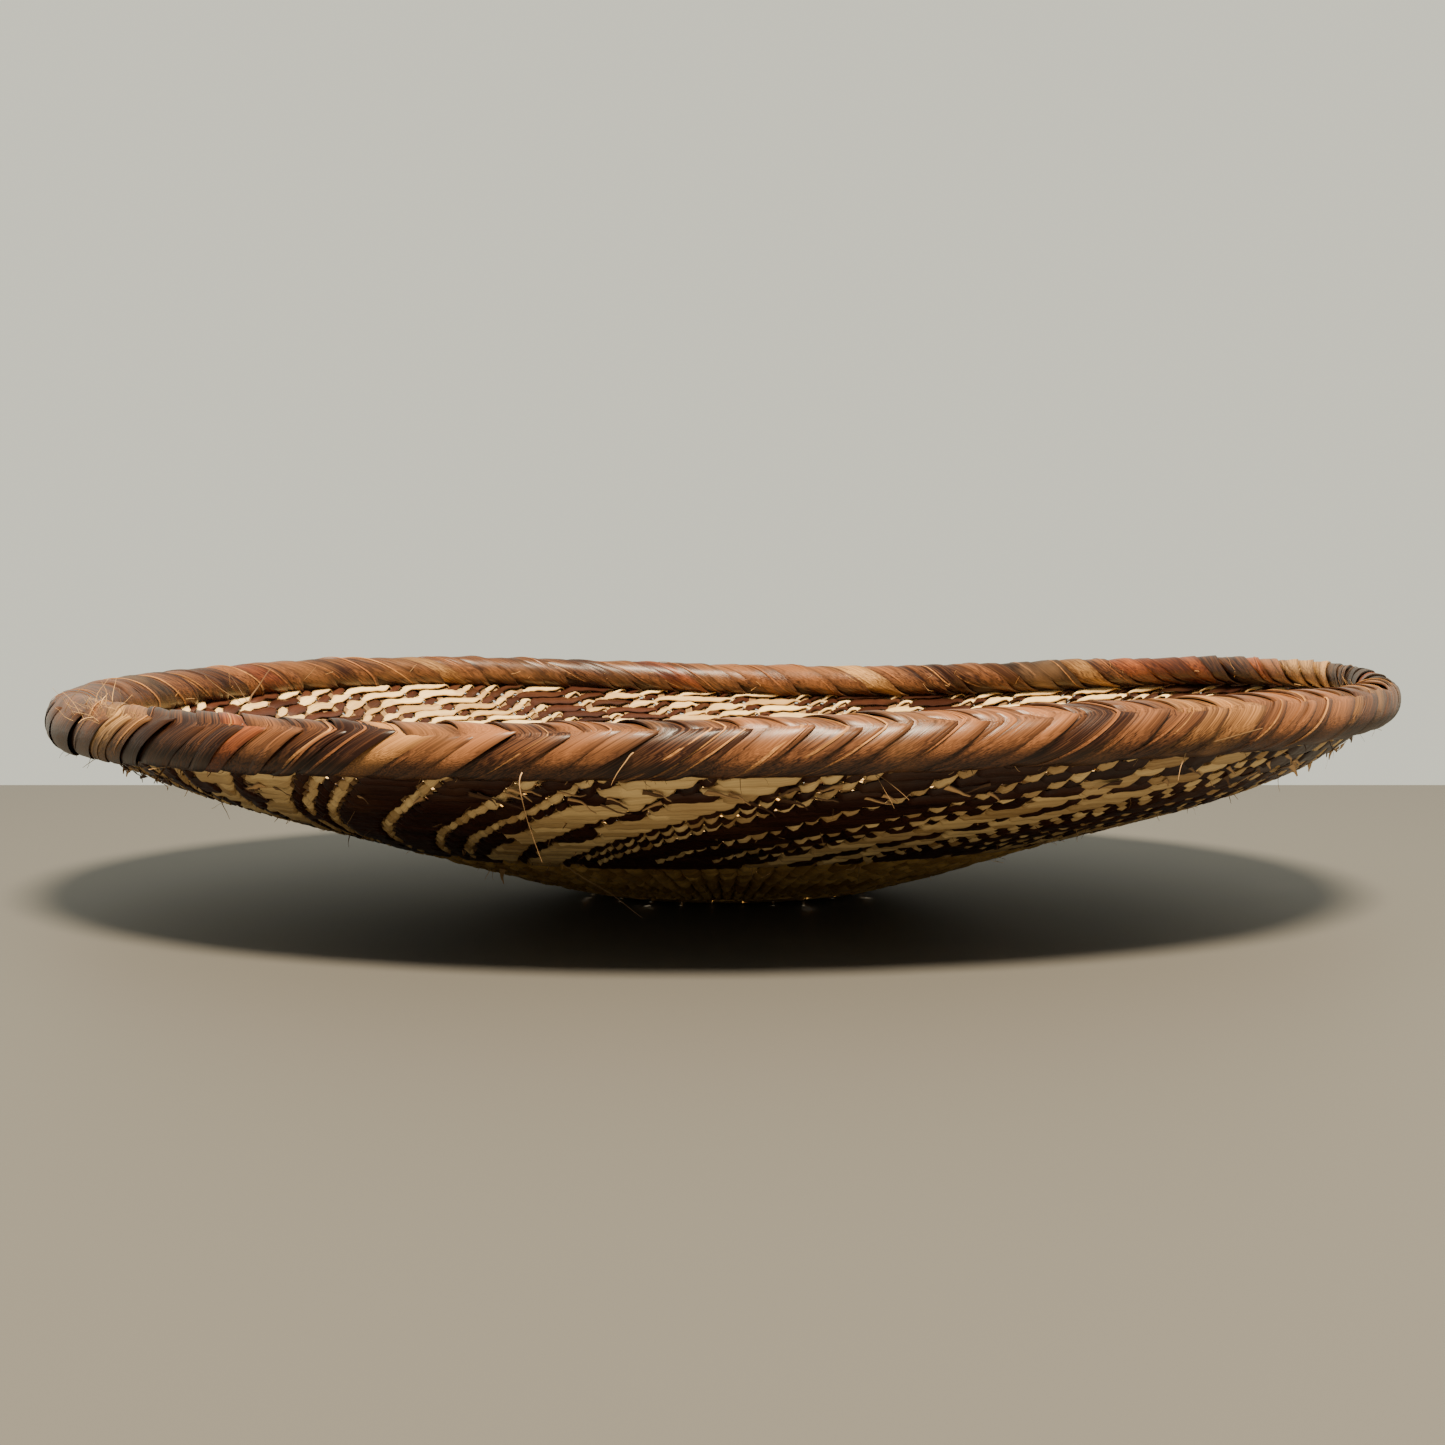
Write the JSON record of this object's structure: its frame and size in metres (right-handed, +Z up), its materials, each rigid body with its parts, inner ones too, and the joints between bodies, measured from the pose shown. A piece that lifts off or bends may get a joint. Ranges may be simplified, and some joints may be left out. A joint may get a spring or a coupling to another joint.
{
  "type": "winnowing basket",
  "caption": "Shallow round woven basket with a flat plaited foot, two-colour spiral weave and a thick braided leaf rim, for tossing grain.",
  "frame": {"origin": "middle of the underside of the foot, on the ground", "axes": "+Z up through the open mouth; +X and +Y across the rim, which is round"},
  "size_m": [0.4, 0.4, 0.0639],
  "materials": {
    "foot_strips": "matte, dry leaf with fine lengthwise grain",
    "natural_weft": "matte undyed palm leaf, straw to olive",
    "dark_weft": "matte dyed palm leaf, very dark brown",
    "ribs": "matte split palm midrib",
    "rim_hoop": "bare bent rod",
    "rim_bundles": "dry leaf waste, matte",
    "binding_chestnut": "satin palm leaf, chestnut brown",
    "binding_russet": "satin palm leaf, russet",
    "binding_tan": "satin palm leaf, tan"
  },
  "bodies": {
    "root": {"added_ribs_back": "ribs", "added_ribs_front": "ribs", "added_ribs_left": "ribs", "added_ribs_right": "ribs", "base_lock_course": "natural_weft", "base_strips_crosswise": "foot_strips", "base_strips_lengthwise": "foot_strips", "long_ribs_back": "ribs", "long_ribs_front": "ribs", "long_ribs_left": "ribs", "long_ribs_right": "ribs", "natural_course_02": "natural_weft", "natural_course_03": "natural_weft", "natural_course_04": "natural_weft", "natural_course_05": "natural_weft", "natural_course_06": "natural_weft", "natural_course_07": "natural_weft", "natural_course_08": "natural_weft", "natural_course_09": "natural_weft", "natural_course_10": "natural_weft", "natural_course_11": "natural_weft", "natural_course_12": "natural_weft", "natural_course_13": "natural_weft", "natural_course_14": "natural_weft", "pattern_course_15": "dark_weft", "pattern_course_16": "dark_weft", "pattern_course_17": "dark_weft", "pattern_course_18": "dark_weft", "pattern_course_19": "dark_weft", "pattern_course_20": "dark_weft", "pattern_course_21": "dark_weft", "pattern_course_22": "dark_weft", "pattern_course_23": "dark_weft", "pattern_course_24": "dark_weft", "pattern_course_25": "dark_weft", "pattern_course_26": "dark_weft", "pattern_course_27": "dark_weft", "pattern_course_28": "dark_weft", "pattern_course_29": "dark_weft", "pattern_course_30": "dark_weft", "pattern_course_31": "dark_weft", "pattern_course_32": "dark_weft", "pattern_course_33": "dark_weft", "pattern_course_34": "dark_weft", "pattern_course_35": "dark_weft", "pattern_course_36": "dark_weft", "rim_binding_chestnut": "binding_chestnut", "rim_binding_russet": "binding_russet", "rim_binding_tan": "binding_tan", "rim_bundles_lower": "rim_bundles", "rim_bundles_upper": "rim_bundles", "rim_hoop": "rim_hoop"}
  },
  "joints": []
}
